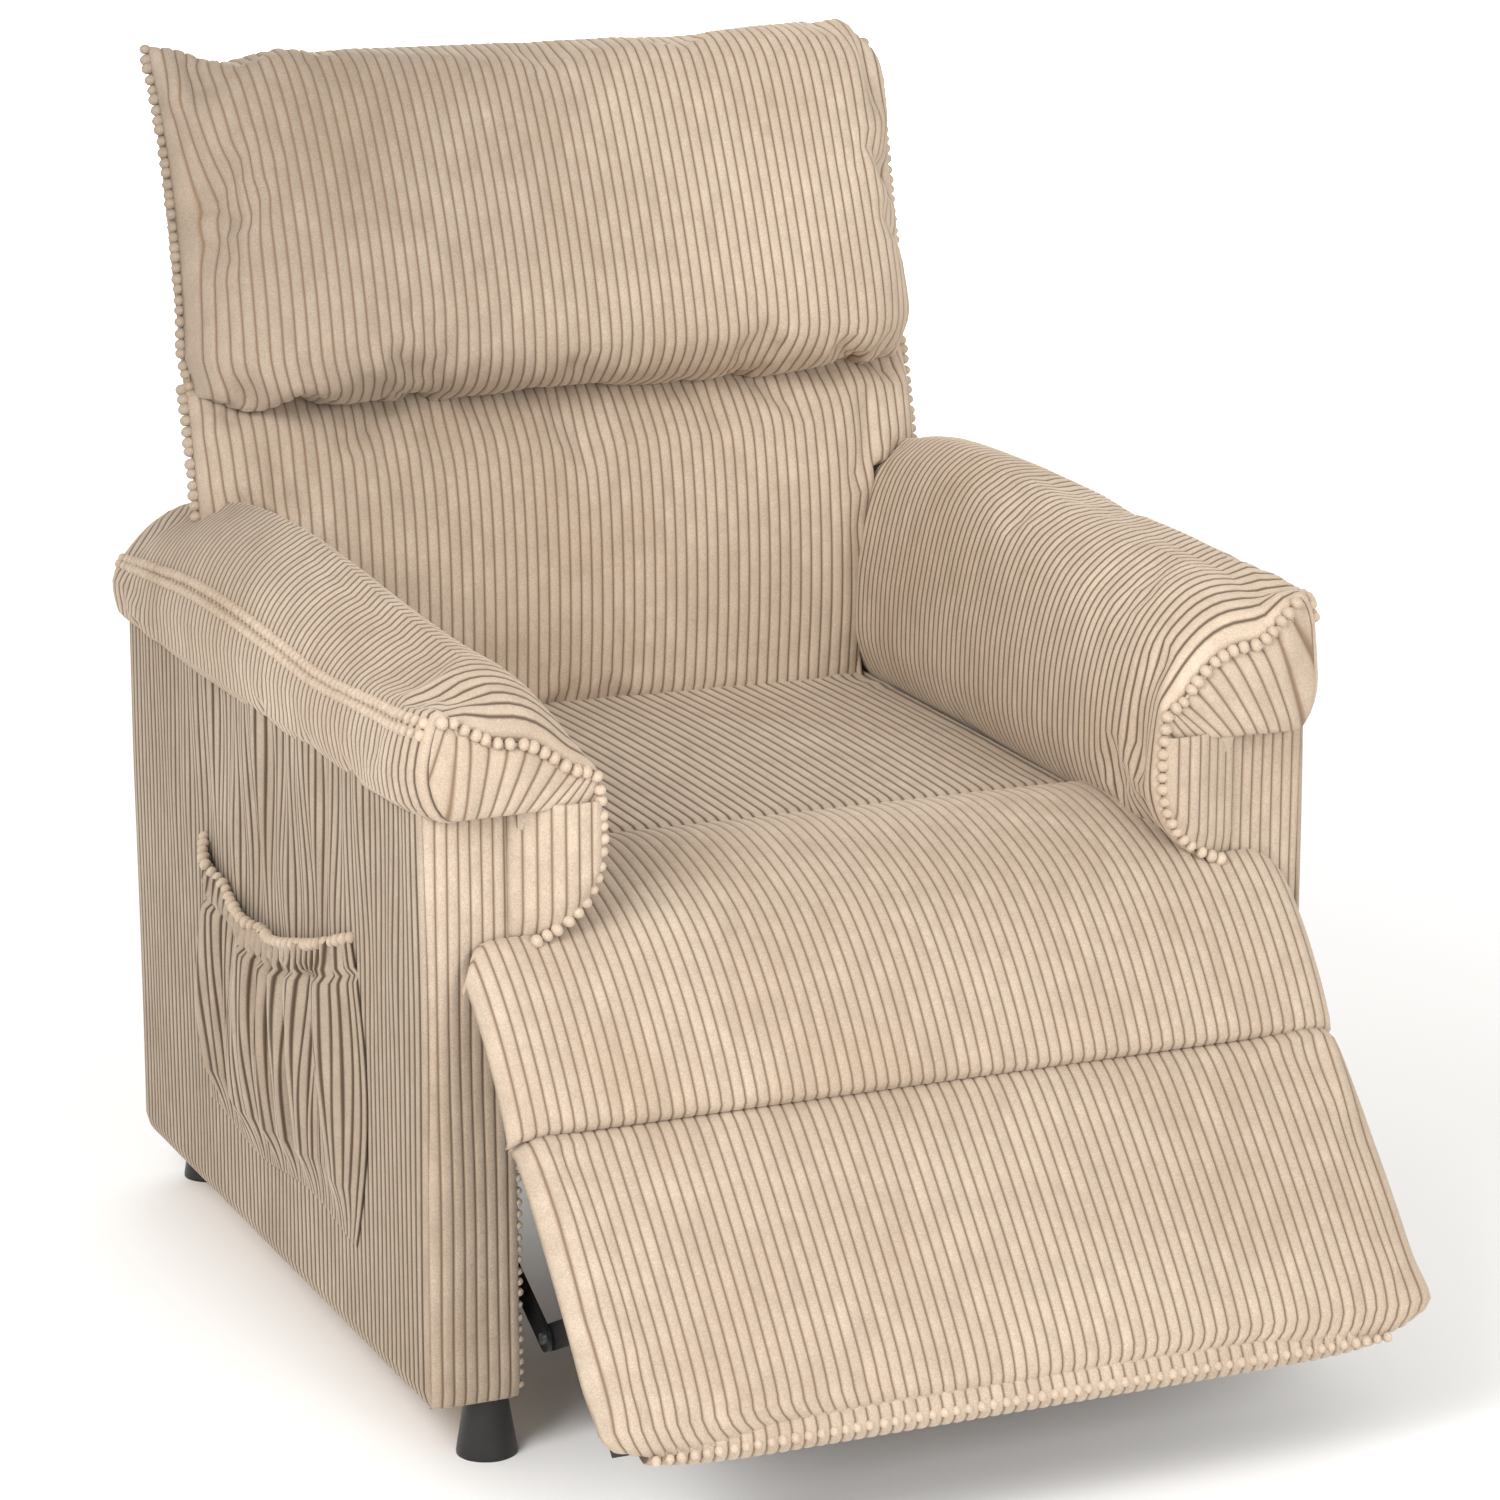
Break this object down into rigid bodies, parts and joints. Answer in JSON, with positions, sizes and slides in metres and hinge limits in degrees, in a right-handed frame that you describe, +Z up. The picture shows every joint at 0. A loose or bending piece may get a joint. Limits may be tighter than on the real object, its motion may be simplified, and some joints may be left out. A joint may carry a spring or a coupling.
{
  "type": "recliner armchair",
  "caption": "Push-back recliner armchair in wide-wale corduroy with rolled arm pads, head pillow, lumbar cushion, side pocket and a linked swing-up footrest.",
  "frame": {"origin": "on the floor under the middle of the chair's outline with the footrest half raised", "axes": "+X across the chair to the sitter's left, +Y to the back, +Z up; the chair faces -Y"},
  "size_m": [0.817, 1.1511, 1.062],
  "materials": {
    "corduroy": "wide-wale velvet corduroy, light tan",
    "foot_plastic": "moulded black plastic",
    "black_steel": "black e-coated steel strip",
    "zinc_steel": "zinc plated",
    "webbing": "elastic upholstery webbing",
    "lining_board": "corduroy stapled over thin board",
    "plywood": "sawn birch plywood",
    "timber": "planed pine"
  },
  "bodies": {
    "base": {"back_pivot_pins": "zinc_steel", "foot_front_left": "foot_plastic", "foot_front_right": "foot_plastic", "foot_rear_left": "foot_plastic", "foot_rear_right": "foot_plastic", "foot_studs": "zinc_steel", "front_roll": "corduroy", "hinge_pin": "zinc_steel", "left_arm_front_panel": "corduroy", "left_arm_lining": "lining_board", "left_arm_pad": "corduroy", "left_arm_posts": "timber", "left_arm_rails": "timber", "left_hinge_plate": "black_steel", "left_link_plate": "black_steel", "left_side_board": "plywood", "left_side_cover": "corduroy", "link_pivot_studs": "zinc_steel", "nose_board": "plywood", "nose_hinge_leaf": "zinc_steel", "nose_riser": "plywood", "right_arm_front_panel": "corduroy", "right_arm_lining": "lining_board", "right_arm_pad": "corduroy", "right_arm_posts": "timber", "right_arm_rails": "timber", "right_hinge_plate": "black_steel", "right_link_plate": "black_steel", "right_side_board": "plywood", "right_side_cover": "corduroy", "seat_cross_rails": "timber", "seat_cushion": "corduroy", "seat_end_rails": "timber", "seat_side_rails": "timber", "seat_straps": "webbing", "side_pocket": "corduroy"},
    "back": {"back_stiles": "timber", "back_wing_stiles": "timber", "back_cross_rails": "timber", "back_bottom_rail": "timber", "back_webbing": "webbing", "back_outer_panel": "lining_board", "left_back_bracket": "black_steel", "right_back_bracket": "black_steel", "lumbar_cushion": "corduroy", "head_pillow": "corduroy"},
    "footrest": {"footrest_board": "plywood", "calf_pad": "corduroy", "footrest_pad": "corduroy", "footrest_hinge_leaf": "zinc_steel", "left_footrest_bracket": "black_steel", "right_footrest_bracket": "black_steel", "bracket_pins": "zinc_steel"},
    "drive_links": {"left_drive_link": "black_steel", "right_drive_link": "black_steel", "knee_rod": "zinc_steel"},
    "brace_links": {"left_brace_link": "black_steel", "right_brace_link": "black_steel"}
  },
  "joints": [
    {"name": "back_recline", "type": "hinge", "parent": "base", "child": "back", "pos_m": [0, 0.4145, 0.395], "axis": [-1, 0, 0], "range_deg": [0, 35]},
    {"name": "footrest_swing", "type": "hinge", "parent": "base", "child": "footrest", "pos_m": [0, -0.3275, 0.392], "axis": [-1, 0, 0], "range_deg": [-44, 46]},
    {"name": "drive_link_swing", "type": "hinge", "parent": "base", "child": "drive_links", "pos_m": [0, -0.17123, 0.31612], "axis": [-1, 0, 0], "range_deg": [-44, 46]},
    {"name": "brace_link_swing", "type": "hinge", "parent": "footrest", "child": "brace_links", "pos_m": [0, -0.44677, 0.18088], "axis": [-1, 0, 0], "range_deg": [-46, 44]}
  ],
  "couplings": [
    {"joint": "drive_link_swing", "follows": "footrest_swing", "ratio": 1},
    {"joint": "brace_link_swing", "follows": "footrest_swing", "ratio": -1}
  ]
}
